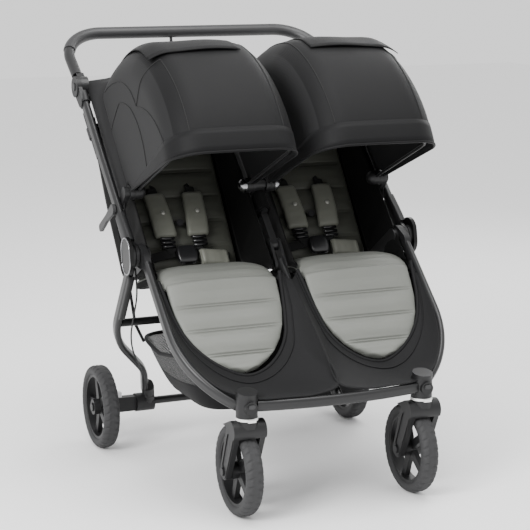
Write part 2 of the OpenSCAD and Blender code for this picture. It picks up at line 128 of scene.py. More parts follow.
def shape(name, points, faces, paint, smooth=True):
    mesh = bpy.data.meshes.new(name)
    mesh.from_pydata([tuple(p) for p in points], [], faces)
    mesh.update()
    bm = bmesh.new()
    bm.from_mesh(mesh)
    bmesh.ops.remove_doubles(bm, verts=bm.verts, dist=1e-6)
    bmesh.ops.recalc_face_normals(bm, faces=bm.faces)
    bm.to_mesh(mesh)
    bm.free()
    for f in mesh.polygons:
        f.use_smooth = smooth
    mesh.materials.append(paint.material)
    obj = bpy.data.objects.new(name, mesh)
    bpy.context.scene.collection.objects.link(obj)
    return obj


def grid(name, at, nu, nv, paint, close_u=False, close_v=False):
    """Mesh through at(u, v) for u and v from 0 to 1."""
    cu, cv = (nu if close_u else nu + 1), (nv if close_v else nv + 1)
    points = [at(i / nu, j / nv) for i in range(cu) for j in range(cv)]
    faces = [(i * cv + j, ((i + 1) % cu) * cv + j, ((i + 1) % cu) * cv + (j + 1) % cv, i * cv + (j + 1) % cv)
             for i in range(nu) for j in range(nv)]
    return shape(name, points, faces, paint)


camera = bpy.data.objects.new("camera", bpy.data.cameras.new("camera"))
camera.data.lens = 112.83
camera.data.sensor_width = 36
camera.location = (-1.5866, -3.7973, 1.2956)
aim = Vector((0.0094, -0.0165, 0.4973))
camera.rotation_euler = (aim - camera.location).to_track_quat("-Z", "Y").to_euler()
bpy.context.scene.collection.objects.link(camera)
bpy.context.scene.camera = camera
world = bpy.data.worlds.new("world")
world.use_nodes = True
world.node_tree.nodes["Background"].inputs[0].default_value = (1, 1, 1, 1)
world.node_tree.nodes["Background"].inputs[1].default_value = 1.25
bpy.context.scene.world = world
for name, where, size, power in (("key", (-2.8, -1.9, 2.4), 1.4, 150), ("top", (0.2, -0.6, 3.2), 2.0, 80),
                                 ("rim", (2.4, 1.8, 2.2), 1.6, 30)):
    light = bpy.data.objects.new(name, bpy.data.lights.new(name, "AREA"))
    light.data.size, light.data.energy = size, power
    light.location = where
    light.rotation_euler = (Vector((0, 0, 0.6)) - light.location).to_track_quat("-Z", "Y").to_euler()
    bpy.context.scene.collection.objects.link(light)
white = Paint("floor", (0.93, 0.93, 0.93), 0.9)
floor = grid("floor", lambda u, v: (16 * u - 8, 20 * v - 8, 0), 8, 8, white)

# Frame and fittings: drawn aluminium tubes in satin dark grey paint, riveted at the hinges,
# with moulded nylon housings, forks, hubs and rims, grey buttons and levers, plated steel pins
# and a white lock ring on each caster. Their meshes come from the frame as they are.
frame_paint = Paint("frame", (0.011, 0.011, 0.0115), 0.34, 0.1, Specular_IOR_Level=0.4, Coat_Weight=0.08,
                    Coat_Roughness=0.3)
frame_paint.drive("Roughness", frame_paint.noise(40, 2) * 0.12 + 0.3)
moulded = Paint("moulded", (0.0085, 0.0085, 0.009), 0.46, Specular_IOR_Level=0.35)
moulded.bump(moulded.noise(900, 2), 0.12, 0.0003)
plated = Paint("plated", (0.55, 0.55, 0.56), 0.28, 1.0)
grey = Paint("grey", (0.020, 0.020, 0.021), 0.45)
ring_white = Paint("ring_white", (0.82, 0.82, 0.8), 0.35)
gloss_black = Paint("gloss_black", (0.004, 0.004, 0.004), 0.3, Specular_IOR_Level=0.25)
for finish, names in (
        (frame_paint, ("front_frame_tube", "centre_lower_tube", "rear_legs", "rear_cross_tubes",
                       "upper_side_tubes", "centre_upper_frame", "handlebar_tube")),
        (moulded, ("side_hinges", "caster_housings", "axle_housings", "handle_housings", "canopy_mounts",
                   "brake_cable_lower", "brake_cable_upper", "fork_left", "fork_right", "front_rim_left",
                   "front_rim_right", "rear_rim_left", "rear_rim_right", "canopy_hubs_left",
                   "canopy_hubs_right", "canopy_bow_left", "canopy_bow_right")),
        (grey, ("brake_lever", "lock_rods", "handle_button_left", "handle_button_right",
                "caster_release_left", "caster_release_right", "buckle_button_left",
                "buckle_button_right")),
        (plated, ("seat_hinge_rod", "brake_pin_left", "brake_pin_right")),
        (ring_white, ("lock_ring_left", "lock_ring_right")),
        (gloss_black, ("hinge_covers",))):
    for name in names:
        nodes[name].data.materials.clear()
        nodes[name].data.materials.append(finish.material)

# Tyres: foam-filled black rubber, moulded in one piece and stretched over the rims.
# The tread has a groove each side of its middle rib and blocks cut between the grooves.
tyre_black = Paint("tyre", (0.022, 0.022, 0.023), 0.72)
tyre_black.bump(tyre_black.noise(300, 3), 0.2, 0.0006)
wheel_radius, tread_start, lugs, cut_depth = 0.108, 0.0965, 34, 0.0021


def tyre_point(u, v):
    turn, side = 2 * math.pi * u, 2 * math.pi * v
    x = 0.0208 * math.copysign(abs(math.sin(side)) ** 0.75, math.sin(side))
    r = 0.0945 + 0.0133 * math.copysign(abs(math.cos(side)) ** 0.8, math.cos(side))
    if r > tread_start:
        lug = math.sin(turn * lugs + (2.2 if x > 0 else 0) + abs(x) * 160)
        cut = cut_depth if (lug > 0.62 and abs(x) > 0.004) or 0.0032 < abs(x) < 0.0052 else 0
        r -= cut * min((r - tread_start) / 0.004, 1)
    return x, r * math.sin(turn), wheel_radius + r * math.cos(turn)


for name, x, y, body in (("front_tyre_left", -0.222, -0.412, "front_wheel_left"),
                         ("front_tyre_right", 0.222, -0.412, "front_wheel_right"),
                         ("rear_tyre_left", -0.355, 0.22, "rear_wheel_left"),
                         ("rear_tyre_right", 0.355, 0.22, "rear_wheel_right")):
    def placed(u, v, x=x, y=y):
        p = tyre_point(u, v)
        return p[0] + x, p[1] + y, p[2]
    tyre = grid(name + "_look", placed, 340, 44, tyre_black, True, True)
    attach(tyre, body)
    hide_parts(name)

# Canopy covers: near-black woven polyester sewn to charcoal cheeks and a grey lining.
# Each is stretched over two moulded bows that turn on the hubs, and is riveted at the hubs.
def cloth_paint(name, dark, light, roughness, weave, strength=0.25, sheen=0.02, shine=0.12):
    """Woven cloth: fine crossed threads and a slow change of tone."""
    p = Paint(name, dark, roughness, Sheen_Weight=sheen, Sheen_Roughness=0.5, Specular_IOR_Level=shine)
    p.drive("Base Color", p.mix(p.noise(9, 4), dark, light))
    split = p.node("SeparateXYZ", None, 0, {0: p.place()})
    across = Wire(p, split.socket.node.outputs[0])
    up = Wire(p, split.socket.node.outputs[2])
    threads = (across * weave).sin() * (up * weave).sin()
    return p.bump(threads + p.noise(160, 2) * 0.8, strength, 0.0004)


def settle(obj):
    """Bakes the modifiers into the mesh."""
    evaluated = obj.evaluated_get(bpy.context.evaluated_depsgraph_get())
    mesh = bpy.data.meshes.new_from_object(evaluated)
    obj.modifiers.clear()
    obj.data = mesh
    return obj


def thicken(obj, depth):
    """Gives a sheet its depth, grown inwards from its modelled face."""
    m = obj.modifiers.new("thick", "SOLIDIFY")
    m.thickness, m.offset, m.use_even_offset = depth, -1.0, True
    return settle(obj)


canopy_black = cloth_paint("canopy", (0.0042, 0.0042, 0.0045), (0.006, 0.006, 0.0064), 0.55, 2600)
side_grey = cloth_paint("canopy_side", (0.010, 0.010, 0.0104), (0.0135, 0.0135, 0.014), 0.6, 2600)
lining = cloth_paint("lining", (0.010, 0.0105, 0.009), (0.014, 0.0145, 0.012), 0.8, 2200)


seat_x, canopy_pivot_z = 0.181, 0.7
rear_angle, canopy_angle = 46, 112
hub_gap = 0.02


def hood_point(s, theta, u):
    """u runs over the section from the outer hub (0) over the top to the inner hub (1)."""
    a = math.radians(theta)
    share = (theta - rear_angle) / canopy_angle
    radius = 0.352 + 0.008 * share - 0.007 * math.sin(math.pi * min(max((theta - rear_angle) / 50, 0), 1)) \
        - 0.006 * math.sin(math.pi * min(max((theta - 96) / 62, 0), 1))
    half, corner = 0.160, 0.075
    length = (radius - hub_gap - corner) * 2 + math.pi * corner + 2 * (half - corner)
    d = u * length
    leg = radius - hub_gap - corner
    if d < leg:
        x, r = -half, hub_gap + d
    elif d < leg + math.pi / 2 * corner:
        t = (d - leg) / corner
        x, r = -half + corner * (1 - math.cos(t)), radius - corner + corner * math.sin(t)
    elif d < leg + math.pi / 2 * corner + 2 * (half - corner):
        x, r = -half + corner + (d - leg - math.pi / 2 * corner), radius
    elif d < length - leg:
        t = (d - leg - math.pi / 2 * corner - 2 * (half - corner)) / corner
        x, r = half - corner + corner * math.sin(t), radius - corner + corner * math.cos(t)
    else:
        x, r = half, length - d + hub_gap
    r += 0.006 * (1 - (x / half) ** 2) if r > radius - 0.03 else 0
    return Vector((s * (seat_x - x), r * math.cos(a), canopy_pivot_z + r * math.sin(a)))


for s, word in ((-1, "left"), (1, "right")):
    def cover(u, v, s=s):
        return hood_point(s, rear_angle + 112.5 * v, u)
    hood = grid(f"canopy_cloth_{word}", cover, 90, 60, canopy_black)
    hood.data.materials.append(side_grey.material)
    hood.data.materials.append(lining.material)
    for f in hood.data.polygons:
        x = abs(f.center.x)
        if x > 0.325 or x < 0.034:
            f.material_index = 1
    thicken(hood, 0.003)
    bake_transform(hood)
    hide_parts(f"canopy_fabric_{word}")

# Canopy trim: a double hem band with a rolled edge along the front bow, a loose flap over the
# top window stitched only along the rear bow, and a rear gusset from that bow to the frame.
def tube(name, path, radius, paint, sides=12, closed=False):
    """Round tube swept along points."""
    path = [Vector(p) for p in path]
    n = len(path)
    rings = []
    for i, p in enumerate(path):
        a = path[(i - 1) % n] if closed or i > 0 else p
        b = path[(i + 1) % n] if closed or i < n - 1 else p
        along = (b - a).normalized()
        ref = Vector((0, 0, 1)) if abs(along.z) < 0.95 else Vector((0, 1, 0))
        side = along.cross(ref).normalized()
        up = side.cross(along)
        rings.append([p + radius * (math.cos(t) * side + math.sin(t) * up)
                      for t in (2 * math.pi * k / sides for k in range(sides))])
    points = [q for r in rings for q in r]
    faces = [(i * sides + k, ((i + 1) % n) * sides + k, ((i + 1) % n) * sides + (k + 1) % sides,
              i * sides + (k + 1) % sides) for i in range(n if closed else n - 1) for k in range(sides)]
    if not closed:
        faces += [tuple(range(sides)), tuple((n - 1) * sides + k for k in range(sides))]
    return shape(name, points, faces, paint)


for s, word in ((-1, "left"), (1, "right")):
    def band_point(u, v, s=s):
        side = max(0, 1 - u / 0.33) - max(0, 1 - (1 - u) / 0.33)
        out = Vector((s * min(1, abs(side) * 3) * (1 if side > 0 else -1), -0.9,
                      0.44 if 0.25 < u < 0.75 else 0))
        return hood_point(s, 149.5 + 9 * v, u) + out * 0.0026
    band = grid(f"canopy_hem_{word}", band_point, 90, 4, canopy_black)
    thicken(band, 0.002)
    edge = tube(f"canopy_edge_{word}", [hood_point(s, 158.6, i / 80) for i in range(81)], 0.0034,
                canopy_black, 8)
    for piece in (band, edge):
        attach(piece, f"canopy_{word}")

    def flap_point(u, v, s=s):
        p = hood_point(s, 64 + (45 - 2 * u) * v, 0.355 + 0.225 * u)
        lift = 0.003 + 0.004 * v * v + 0.0015 * math.sin(7 * u + 3 * v)
        out = Vector((0, p.y, p.z - canopy_pivot_z)).normalized()
        return p + out * lift + Vector((s * (0.5 - u) * 0.03 * v, 0, -abs(u - 0.5) ** 3 * 0.02))
    flap = grid(f"canopy_flap_{word}", flap_point, 40, 14, canopy_black)
    thicken(flap, 0.0022)
    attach(flap, f"canopy_hub_{word}")

    def gusset_point(u, v, s=s):
        a = hood_point(s, 46.5, u)
        r = min(u, 1 - u)
        if r < 0.36:
            t = r / 0.36
            x = 0.350 if u < 0.5 else 0.012
            b = Vector((s * x, 0.002 + 0.318 * t, 0.640 + 0.305 * t))
        else:
            b = Vector((a.x, 0.320, 0.944))
        p = a.lerp(b, v)
        bulge = math.sin(math.pi * v) * 0.006
        ripple = 0.004 * math.sin(26 * u + 5 * v) * v * (1 - v) * 4
        return p + Vector((s * bulge * (1 if u < 0.36 else 0), 0, bulge + ripple))
    gusset = grid(f"canopy_gusset_{word}", gusset_point, 90, 16, side_grey)
    thicken(gusset, 0.0025)
    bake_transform(gusset)
    if word == "left":
        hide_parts("rear_panel")

# Seats: foam pads in coated cloth covers, quilted across. The seat pads and leg rests are pale
# grey, the backs olive, with painted shade from the hood making the backs darker still. Round the
# edge of each leg rest lies a near-black cloth border, painted shade for the shadowed gap there; each
# leg rest hangs from a welt, and each back lies on a board that turns on the seat rod.
def pick(points, t):
    """Point at share t of a line of points."""
    x = min(max(t, 0), 1) * (len(points) - 1)
    i = min(int(x), len(points) - 2)
    return Vector(points[i]).lerp(Vector(points[i + 1]), x - i)


wing_black = cloth_paint("wing", (0.003, 0.003, 0.003), (0.0045, 0.0045, 0.0045), 0.7, 2400, shine=0.05)
pad_pale = cloth_paint("pad", (0.155, 0.161, 0.146), (0.175, 0.181, 0.164), 0.45, 2400, 0.18, shine=0.3)
# The backs' olive base colour is set darker than the cloth's own olive: painted shade from the hood above.
olive_pad_painted_shade = cloth_paint("olive", (0.058, 0.060, 0.050), (0.074, 0.076, 0.064), 0.42, 2400, 0.2, shine=0.25)


def wide(table, d):
    return float(np.interp(d, [t[0] for t in table], [t[1] for t in table]))


def cushion(name, length, half, thick, seams, place, paint, nv=90, nu=64, puff=0.005, ends=0.02):
    """Stuffed pad along d; half is a table of half widths; seams pull its top in."""
    def at(u, v):
        turn = 2 * math.pi * u
        d = length * v
        close = min(1, (max(0.0, 1 - (max(0, 1 - d / ends)) ** 2.2)) ** 0.5,
                    (max(0.0, 1 - (max(0, 1 - (length - d) / ends)) ** 2.2)) ** 0.5)
        c, q = math.cos(turn), math.sin(turn)
        w = wide(half, d) if isinstance(half, list) else half
        x = (w - ends * 0.4 * (1 - close)) * math.copysign(abs(c) ** 0.42, c)
        h = thick / 2 * close * math.copysign(abs(q) ** 0.55, q)
        if q > 0:
            near = min([abs(d - k) for k in seams] + [1])
            fine = math.exp(-(near / 0.0018) ** 2)
            soft = math.exp(-(near / 0.014) ** 2)
            crown = (1 - (abs(c) ** 2.4))
            h += crown * (puff * (1 - soft) - puff * 0.9 * fine)
            h += crown * 0.0012 * noise.noise(Vector((x * 22, d * 60, 3.1)))
        return place(x, d, h)
    return grid(name, at, nu, nv, paint, True)


calf_half = [(0, 0.140), (0.05, 0.138), (0.09, 0.134), (0.13, 0.124), (0.165, 0.108), (0.195, 0.086),
             (0.215, 0.064), (0.232, 0.038), (0.243, 0.006)]
for s, word in ((-1, "left"), (1, "right")):
    def on_calf(x, d, h, s=s):
        h += 0.002 + 0.010 * (1 - (x / 0.15) ** 2) * max(0, 1 - d / 0.03)
        return (s * 0.178 + x, -0.187 - d * 0.629 - h * 0.777, 0.502 - d * 0.777 + h * 0.629)
    calf = cushion(f"calf_{word}", 0.243, calf_half, 0.022, [0.063, 0.069, 0.128, 0.134, 0.193, 0.199],
                   on_calf, pad_pale, nv=200, ends=0.012)
    # Near-black border sheet round the leg rest, set in the shadowed gap there: painted shade.
    shade_flange = cushion(f"calf_flange_{word}", 0.246, [(a, b + 0.0135) for a, b in calf_half], 0.004, [],
                     lambda x, d, h, s=s: on_calf(x, d, h - 0.013), wing_black, ends=0.004)
    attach(shade_flange, f"calf_{word}")
    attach(calf, f"calf_{word}")
    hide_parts(f"calf_pad_{word}")

    seat_line = [Vector((0, p[0], p[1])) for p in
                 [(-0.190, 0.489), (-0.184, 0.498), (-0.172, 0.506), (-0.154, 0.511), (-0.135, 0.5125),
                  (-0.11, 0.510), (-0.08, 0.503), (-0.05, 0.494), (-0.02, 0.484), (0.022, 0.468)]]

    def on_seat(x, d, h, s=s):
        p = pick(seat_line, d / 0.22)
        q = pick(seat_line, d / 0.22 + 0.03)
        along = (q - p).normalized() if (q - p).length > 1e-6 else Vector((0, 0.93, -0.36))
        up = Vector((1, 0, 0)).cross(along)
        p = p + up * (h - 0.010 * (x / 0.15) ** 4)
        return (s * seat_x + x, p.y, p.z)
    seat = cushion(f"seat_{word}", 0.22, 0.145, 0.036, [], on_seat, pad_pale, puff=0.003, ends=0.02)
    seat.data.materials.append(wing_black.material)
    for f in seat.data.polygons:
        if f.normal.z < 0.1 and f.center.y > -0.176:
            f.material_index = 1
    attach(seat, "lower_frame")
    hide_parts(f"seat_pad_{word}")

    def on_back(x, d, h, s=s):
        a = 0.008 + d
        return (s * seat_x + x, 0.045 + a * 0.5736 - h * 0.8192, 0.478 + a * 0.8192 + h * 0.5736)
    back_seams = [0.057, 0.063, 0.127, 0.133, 0.200, 0.270, 0.276, 0.34, 0.346, 0.405]
    back = cushion(f"back_{word}", 0.435, 0.142, 0.032, back_seams, on_back, olive_pad_painted_shade, nv=150, ends=0.03)
    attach(back, f"seat_back_{word}")
    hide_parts(f"seat_back_{word}")

# Harness: black nylon webbing from slots in the back down to a moulded buckle, with two padded
# olive shoulder covers closed by snaps, a ribbed adjuster below each, and a padded crotch strap.
def curve(points, steps):
    """Smooth line through a few points."""
    p = [Vector(points[0])] + [Vector(q) for q in points] + [Vector(points[-1])]
    line = []
    for i in range(1, len(p) - 2):
        for k in range(steps):
            t = k / steps
            line.append(0.5 * ((2 * p[i]) + (p[i + 1] - p[i - 1]) * t
                        + (2 * p[i - 1] - 5 * p[i] + 4 * p[i + 1] - p[i + 2]) * t * t
                        + (3 * p[i] - p[i - 1] - 3 * p[i + 1] + p[i + 2]) * t ** 3))
    return line + [p[-2]]


cover_olive = cloth_paint("cover", (0.13, 0.134, 0.112), (0.165, 0.168, 0.143), 0.4, 2000, 0.2, shine=0.3)
web_black = cloth_paint("webbing", (0.013, 0.013, 0.013), (0.02, 0.02, 0.02), 0.7, 1600, 0.4)
buckle_black = Paint("buckle", (0.012, 0.012, 0.013), 0.3, Specular_IOR_Level=0.6)
snap_pale = Paint("snap", (0.35, 0.35, 0.32), 0.3, 0.3)


def on_back_plane(s, x, a, h):
    return Vector((s * seat_x + x, 0.045 + a * 0.5736 - h * 0.8192, 0.478 + a * 0.8192 + h * 0.5736))


def strap(points, width, thick):
    """Flat webbing through (x, a, h) points of the seat back's plane, flat side up."""
    line = curve(points, 6)

    def at(u, v):
        turn = 2 * math.pi * u
        p, q = pick(line, v), pick(line, min(v + 0.02, 1)) - pick(line, max(v - 0.02, 0))
        along = Vector((q[0], q[1], 0)).normalized()
        side = Vector((along.y, -along.x, 0))
        c, n = math.cos(turn), math.sin(turn)
        return p + side * (width / 2 * math.copysign(abs(c) ** 0.3, c)) \
            + Vector((0, 0, thick / 2 * math.copysign(abs(n) ** 0.5, n)))
    return at


for s, word in ((-1, "left"), (1, "right")):
    parts = []
    for k in (-1, 1):
        top, low = Vector((k * 0.052, 0.212, 0.030)), Vector((k * 0.043, 0.086, 0.036))

        def on_cover(x, d, h, s=s, top=top, low=low):
            c = top.lerp(low, d / 0.128)
            return on_back_plane(s, c.x + x, c.y, c.z + h + 0.006 * math.sin(math.pi * d / 0.128))
        piece = cushion(f"cover_{word}_{k}", 0.128, [(0, 0.027), (0.128, 0.029)], 0.015, [], on_cover,
                        cover_olive, nv=50, nu=40, puff=0.003, ends=0.012)
        parts.append(piece)
        knob = Vector((k * 0.046 + 0.004, 0.150, 0.050))
        parts.append(grid(f"snap_{word}_{k}", lambda u, v, knob=knob, s=s: on_back_plane(
            s, knob.x + 0.006 * math.cos(2 * math.pi * u) * math.sin(math.pi / 2 * v),
            knob.y + 0.006 * math.sin(2 * math.pi * u) * math.sin(math.pi / 2 * v),
            knob.z + 0.003 * math.cos(math.pi / 2 * v)), 16, 5, snap_pale, True))
        for path, w in (([(k * 0.052, 0.232, 0.014), (k * 0.050, 0.215, 0.030), (k * 0.044, 0.080, 0.034),
                          (k * 0.030, 0.045, 0.036)], 0.024),
                        ([(k * 0.030, 0.045, 0.034), (k * 0.070, 0.040, 0.028),
                          (k * 0.120, 0.030, 0.018)], 0.024)):
            at = strap([Vector(q) for q in path], w, 0.003)
            parts.append(grid(f"strap_{word}_{k}_{len(parts)}",
                              lambda u, v, at=at, s=s: on_back_plane(s, *at(u, v)), 16, 30, web_black, True))
        for j in range(3):
            a0 = 0.082 - j * 0.011
            bar = [on_back_plane(s, k * 0.042 + e, a0, 0.040) for e in (-0.018, 0, 0.018)]
            parts.append(tube(f"adjuster_{word}_{k}_{j}", bar, 0.0042, buckle_black, 8))
    buckle = grid(f"buckle_{word}", lambda u, v, s=s: on_back_plane(
        s, 0.027 * math.copysign(abs(math.cos(2 * math.pi * u)) ** 0.4, math.cos(2 * math.pi * u))
        * math.sin(math.pi * (0.02 + 0.96 * v)) ** 0.3,
        0.035 + 0.024 * -math.cos(math.pi * v),
        0.040 + 0.010 * math.copysign(abs(math.sin(2 * math.pi * u)) ** 0.5, math.sin(2 * math.pi * u))
        * math.sin(math.pi * (0.02 + 0.96 * v)) ** 0.4), 32, 20, buckle_black, True)
    parts.append(buckle)

    def on_crotch(x, d, h, s=s):
        return on_back_plane(s, 0.030 + d, 0.022 + x - 0.1 * d, 0.046 + h - d * 0.06)
    crotch = cushion(f"crotch_{word}", 0.075, 0.022, 0.022, [], on_crotch, cover_olive, nv=40, nu=32,
                     ends=0.010)
    parts.append(crotch)
    for piece in parts:
        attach(piece, f"seat_back_{word}")
    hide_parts(f"harness_{word}")

# Front panel: charcoal cloth hung between the front bar, the side tubes and the centre tube.
# It has an opening for each leg rest, edged with a rolled lip and a line of piping; a deep dark sheet hung
# into each opening is painted shade for the shadowed gap below the leg rest.
panel_cloth = cloth_paint("panel", (0.0095, 0.0095, 0.010), (0.012, 0.012, 0.0125), 0.6, 2600)
rim_line = [(0.333, -0.010), (0.327, 0.040), (0.320, 0.085), (0.303, 0.140), (0.272, 0.188), (0.228, 0.228),
            (0.178, 0.251), (0.130, 0.241), (0.086, 0.208), (0.055, 0.160), (0.042, 0.110), (0.034, 0.060),
            (0.028, 0.015), (0.024, -0.012)]
outer_line = [(0.337, -0.190, 0.506), (0.338, -0.232, 0.474), (0.338, -0.278, 0.434), (0.331, -0.330, 0.389),
              (0.312, -0.380, 0.347), (0.272, -0.430, 0.310), (0.205, -0.474, 0.292), (0.130, -0.486, 0.290),
              (0.060, -0.491, 0.291), (0.0, -0.476, 0.305), (0.0, -0.410, 0.352), (0.0, -0.330, 0.409),
              (0.0, -0.260, 0.459), (0.0, -0.206, 0.497)]


def on_calf_plane(x, b, h):
    return Vector((x, -0.187 - b * 0.629 - h * 0.777, 0.502 - b * 0.777 + h * 0.629))


inner_smooth = curve([on_calf_plane(x, b, 0.006) for x, b in rim_line], 7)
outer_smooth = curve(outer_line, 7)


def panel_point(u, v):
    a, b = pick(inner_smooth, u), pick(outer_smooth, u)
    p = a.lerp(b, v)
    p.z -= 0.010 * math.sin(math.pi * v) * min(1, (b - a).length / 0.15)
    return p


panel_parts = []
for s, word in ((-1, "left"), (1, "right")):
    sided = Vector((s, 1, 1))
    panel = grid(f"panel_{word}", lambda u, v, sided=sided: sided * panel_point(u, v), 130, 22, panel_cloth)
    thicken(panel, 0.003)
    panel_parts.append(panel)
    lip = tube(f"panel_lip_{word}", [sided * panel_point(i / 130, 0.0) for i in range(131)], 0.0045,
               panel_cloth, 8)
    raised = Vector((0, -0.0008, 0.0015))
    stitch_line = []
    for i in range(131):
        reach = (pick(inner_smooth, i / 130) - pick(outer_smooth, i / 130)).length
        stitch_line.append(sided * (panel_point(i / 130, min(0.28, 0.032 / max(0.02, reach))) + raised))
    piping = tube(f"panel_piping_{word}", stitch_line, 0.0014, panel_cloth, 6)
    # A dark sheet hung from each opening's edge into the gap below the leg rest: painted shade.
    shade_drop = Vector((0, 0.030, -0.030))
    shade_well = grid(f"panel_well_{word}", lambda u, v, sided=sided: sided * (panel_point(u, 0) + shade_drop * v),
                130, 4, web_black)
    panel_parts += [lip, piping, shade_well]
for piece in panel_parts:
    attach(piece, "lower_frame")
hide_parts("front_panel")

# Side wings: plain black cloth from the edge of each seat up to the tube beside it, sewn to the
# seat's cover below and clipped round the tube above, one on each side of each seat.
for s, word in ((-1, "left"), (1, "right")):
    for x, side in ((0.331, "outer"), (0.030, "inner")):
        def wing_point(u, v, s=s, x=x, side=side):
            low = [(-0.168, 0.515), (-0.10, 0.510), (0.0, 0.485), (0.050, 0.500), (0.14, 0.62),
                   (0.24, 0.76), (0.29, 0.86)]
            high = [(-0.150, 0.535), (-0.10, 0.580), (-0.05, 0.635), (0.0, 0.685), (0.10, 0.775),
                    (0.20, 0.865), (0.285, 0.910)]
            a = pick([Vector((p[0], p[1], 0)) for p in low], u)
            b = pick([Vector((p[0], p[1], 0)) for p in high], u)
            p = a.lerp(b, v)
            fold = 0.005 * math.sin(18 * u + 4 * v) * math.sin(math.pi * v)
            return s * (x + (0.5 if side == "inner" else -0.9) * abs(fold) + fold * 0.4), p.x, p.y
        wing = grid(f"wing_{side}_{word}", wing_point, 60, 16, wing_black)
        thicken(wing, 0.002)
        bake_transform(wing)
        if (side, word) == ("outer", "left"):
            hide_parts("side_wings")

# Corner gussets: small pieces of the wings' black cloth that close the gap between each seat's
# front corners and the frame, stitched to the seat's cover and to the wing.
for s, word in ((-1, "left"), (1, "right")):
    for number, corners in enumerate((
            ((0.316, -0.120, 0.492), (0.316, -0.196, 0.486), (0.341, -0.214, 0.492), (0.341, -0.120, 0.532)),
            ((0.046, -0.120, 0.490), (0.046, -0.196, 0.484), (0.006, -0.206, 0.488),
             (0.006, -0.120, 0.510)))):
        def gusset_corner(u, v, s=s, corners=corners):
            a, b, c, d = (Vector((s * p[0], p[1], p[2])) for p in corners)
            sag = 0.004 * math.sin(math.pi * u) * math.sin(math.pi * v)
            return a.lerp(b, u).lerp(d.lerp(c, u), v) - Vector((0, 0, sag))
        piece = grid(f"corner_gusset_{word}_{number}", gusset_corner, 16, 8, wing_black)
        thicken(piece, 0.002)
        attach(piece, "lower_frame")

# Basket: a tub of solid cloth with an open mesh upper wall, bound round its rim. It hangs from
# the front frame tube by a sewn web at each corner and sags between them.
mesh_cloth = Paint("mesh_cloth", (0.05, 0.05, 0.05), 0.8)
split = mesh_cloth.node("SeparateXYZ", None, 0, {0: mesh_cloth.place()})
hole = (Wire(mesh_cloth, split.socket.node.outputs[1]) * 1500).sin() * \
    (Wire(mesh_cloth, split.socket.node.outputs[2]) * 1500).sin()
mesh_cloth.drive("Alpha", 1 - (hole.abs() > 0.35) * 0.55)
basket_solid = cloth_paint("basket_solid", (0.008, 0.008, 0.0085), (0.012, 0.012, 0.0125), 0.7, 2400)


def basket_ring(turn, t):
    """Point on the wall at turn (0 to 1) and height share t; sags between its corners."""
    a = 2 * math.pi * turn
    c, q = math.cos(a), math.sin(a)
    x = (0.225 + 0.064 * t ** 0.8) * math.copysign(abs(c) ** 0.35, c)
    y = -0.060 + (0.145 + 0.028 * t) * math.copysign(abs(q) ** 0.35, q)
    rise = 0.014 + 0.012 * max(0, -(y + 0.06) / 0.17)
    sag = 0.013 * t * math.exp(-((abs(y + 0.062)) / 0.08) ** 2)
    z = 0.190 + (0.116 + rise) * t - sag + 0.006 * (1 - t) * (abs(c) ** 4)
    return Vector((x, y, z))


floor_cloth = grid("basket_floor", lambda u, v: Vector((0, -0.062, 0.190)).lerp(basket_ring(u, 0), v)
                   - Vector((0, 0, 0.004 * (1 - v * v))), 96, 10, basket_solid, True)
wall_low = grid("basket_low", lambda u, v: basket_ring(u, 0.45 * v), 96, 8, basket_solid, True)
wall_mesh = grid("basket_mesh", lambda u, v: basket_ring(u, 0.45 + 0.55 * v), 96, 10, mesh_cloth, True)
rim = tube("basket_rim", [basket_ring(i / 96, 1) for i in range(96)], 0.005, basket_solid, 8, True)
webs = []
for s in (-1, 1):
    webs.append(tube(f"basket_web_front_{s}", [(s * 0.272, -0.222, 0.300), (s * 0.302, -0.242, 0.338),
                                               (s * 0.334, -0.276, 0.389)], 0.004, basket_solid, 8))
    webs.append(tube(f"basket_web_rear_{s}", [(s * 0.274, 0.104, 0.300), (s * 0.300, 0.092, 0.350),
                                              (s * 0.328, 0.052, 0.463)], 0.004, basket_solid, 8))
for piece in [floor_cloth, wall_low, wall_mesh]:
    thicken(piece, 0.0015)
for piece in [floor_cloth, wall_low, wall_mesh, rim] + webs:
    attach(piece, "lower_frame")
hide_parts("basket")

# Grip: black grained leatherette over thin foam, wrapped round the handlebar and closed with
# a stitched seam.
leather = Paint("leatherette", (0.018, 0.018, 0.019), 0.42, Specular_IOR_Level=0.5)
split = leather.node("SeparateXYZ", None, 0, {0: leather.place()})
ring = (Wire(leather, split.socket.node.outputs[0]) * 90).sin() > 0.985
leather.bump(leather.noise(420, 4) - ring * 3, 0.35, 0.0008)
nodes["handlebar_grip"].data.materials.clear()
nodes["handlebar_grip"].data.materials.append(leather.material)

# Centre sleeve: a black cloth tube round the centre hinge, closed along its back, that keeps
# fingers out of the joint.
nodes["centre_sleeve"].data.materials.clear()
nodes["centre_sleeve"].data.materials.append(wing_black.material)

# Rear shells: soft black cloth trays that close each seat back behind and at both sides.
# Each is sewn to the front cover along its edge and turns with the back.
for s, word in ((-1, "left"), (1, "right")):
    def tray_point(u, v, s=s):
        walk = [(0.026, 0.014), (0.024, -0.020), (0.030, -0.043), (0.060, -0.052), (0.180, -0.058),
                (0.300, -0.053), (0.332, -0.045), (0.338, -0.020), (0.336, 0.014)]
        x, h = pick([Vector((a, b, 0)) for a, b in walk], u)[:2]
        a = 0.018 + 0.432 * v
        if h < 0:
            h = max(h, -0.012 - 0.9 * a, -0.012 - 1.6 * (0.455 - a)) - 0.003 * math.sin(9 * v + 5 * u)
        return Vector((s * x, 0.045 + a * 0.5736 - h * 0.8192, 0.478 + a * 0.8192 + h * 0.5736))
    tray = grid(f"rear_shell_{word}", tray_point, 72, 40, wing_black)
    thicken(tray, 0.0022)
    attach(tray, f"seat_back_{word}")
